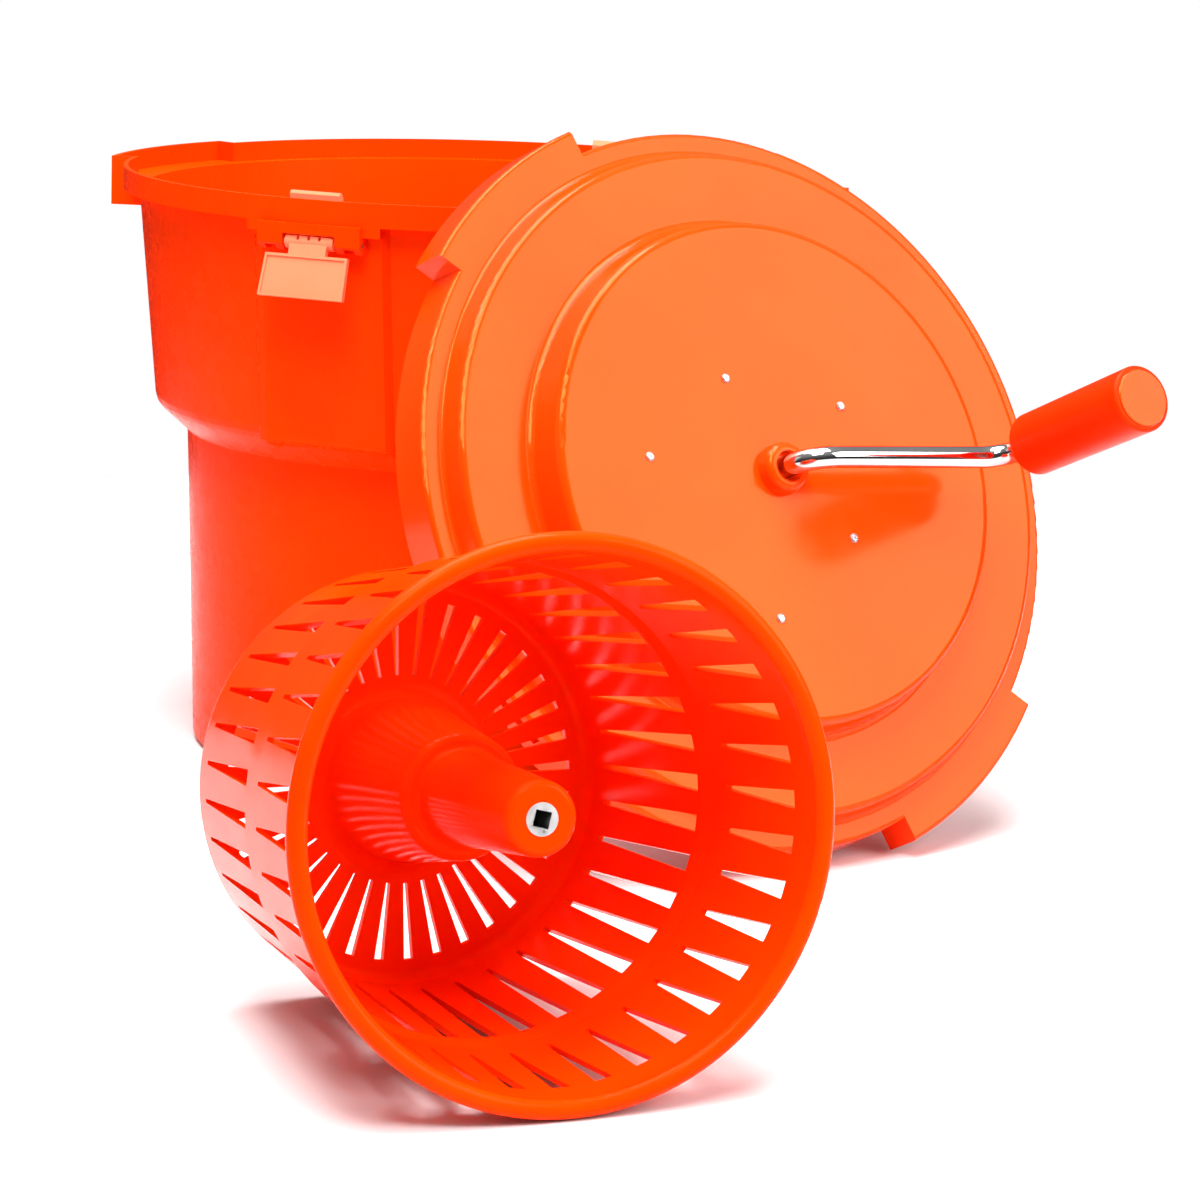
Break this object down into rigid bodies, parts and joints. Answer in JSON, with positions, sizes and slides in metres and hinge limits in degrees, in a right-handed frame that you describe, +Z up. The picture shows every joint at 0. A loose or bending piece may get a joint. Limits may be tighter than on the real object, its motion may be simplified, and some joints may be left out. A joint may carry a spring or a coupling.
{
  "type": "salad spinner",
  "caption": "Large crank-driven salad spinner taken apart: upright tub, geared crank lid leaning on its rim, and slotted basket lying on its side in front.",
  "frame": {"origin": "centre of the tub's flat base, on the floor", "axes": "+Z up along the tub axis; -Y towards the side where the basket lies and the crank faces; +X to the right seen from there"},
  "size_m": [0.6098, 1.0335, 0.4008],
  "materials": {
    "orange_plastic": "semi-gloss, injection moulded",
    "latch_plastic": "satin, injection moulded",
    "gear_plastic": "natural moulded",
    "chrome_steel": "polished",
    "brushed_steel": "drawn bar",
    "brass_bush": "turned"
  },
  "bodies": {
    "tub": {"tub_shell": "orange_plastic", "pivot_pin": "brushed_steel", "latch_pins": "brushed_steel"},
    "front_latch": {"latch_front": "latch_plastic"},
    "rear_latch": {"latch_rear": "latch_plastic"},
    "lid": {"lid_cover": "orange_plastic", "gearbox_housing": "orange_plastic", "gearbox_screws": "chrome_steel", "crank_bush": "orange_plastic", "output_bush": "brass_bush", "layshaft_pin": "brushed_steel"},
    "crank": {"crank_rod": "chrome_steel", "input_gear": "gear_plastic", "gear_washer": "brushed_steel", "gear_screw": "brushed_steel", "grip_ring": "brushed_steel", "grip_washer": "brushed_steel", "grip_screw": "brushed_steel"},
    "grip": {"crank_grip": "orange_plastic", "grip_end_cap": "orange_plastic"},
    "layshaft": {"layshaft_gear": "gear_plastic"},
    "output": {"output_pinion": "gear_plastic", "drive_shaft": "brushed_steel", "shaft_circlip": "brushed_steel"},
    "basket_pivot": {"pivot_bush": "brass_bush", "bush_circlip": "brushed_steel"},
    "basket": {"basket_shell": "orange_plastic", "basket_hub": "orange_plastic", "drive_socket": "brushed_steel"}
  },
  "joints": [
    {"name": "front_latch_hinge", "type": "hinge", "parent": "tub", "child": "front_latch", "pos_m": [-0.09337, -0.19144, 0.3313], "axis": [0.8988, -0.4384, 0], "range_deg": [0, 7]},
    {"name": "rear_latch_hinge", "type": "hinge", "parent": "tub", "child": "rear_latch", "pos_m": [0.09337, 0.19144, 0.3313], "axis": [-0.8988, 0.4384, 0], "range_deg": [0, 7]},
    {"name": "lid_lift", "type": "slide", "parent": "tub", "child": "lid", "axis": [0.4968, -0.7709, 0.3987], "range_m": [0, 0.12]},
    {"name": "crank_spin", "type": "hinge", "parent": "lid", "child": "crank", "pos_m": [0.17428, -0.28102, 0.22115], "axis": [0.4968, -0.7709, 0.3987], "continuous": true},
    {"name": "grip_spin", "type": "hinge", "parent": "crank", "child": "grip", "pos_m": [0.31868, -0.25465, 0.23517], "axis": [0.4968, -0.7709, 0.3987], "continuous": true},
    {"name": "layshaft_spin", "type": "hinge", "parent": "lid", "child": "layshaft", "pos_m": [0.13576, -0.30102, 0.18784], "axis": [0.4968, -0.7709, 0.3987], "continuous": true},
    {"name": "output_spin", "type": "hinge", "parent": "lid", "child": "output", "pos_m": [0.14596, -0.23708, 0.19842], "axis": [0.4968, -0.7709, 0.3987], "continuous": true},
    {"name": "basket_lift", "type": "slide", "parent": "tub", "child": "basket_pivot", "axis": [0, 0, 1], "range_m": [0, 0.3]},
    {"name": "basket_spin", "type": "hinge", "parent": "basket_pivot", "child": "basket", "pos_m": [-0.0314, -0.5568, 0.10435], "axis": [0.3585, -0.9244, 0.1302], "continuous": true}
  ],
  "couplings": [
    {"joint": "layshaft_spin", "follows": "crank_spin", "ratio": -3},
    {"joint": "output_spin", "follows": "crank_spin", "ratio": 4.0909}
  ]
}
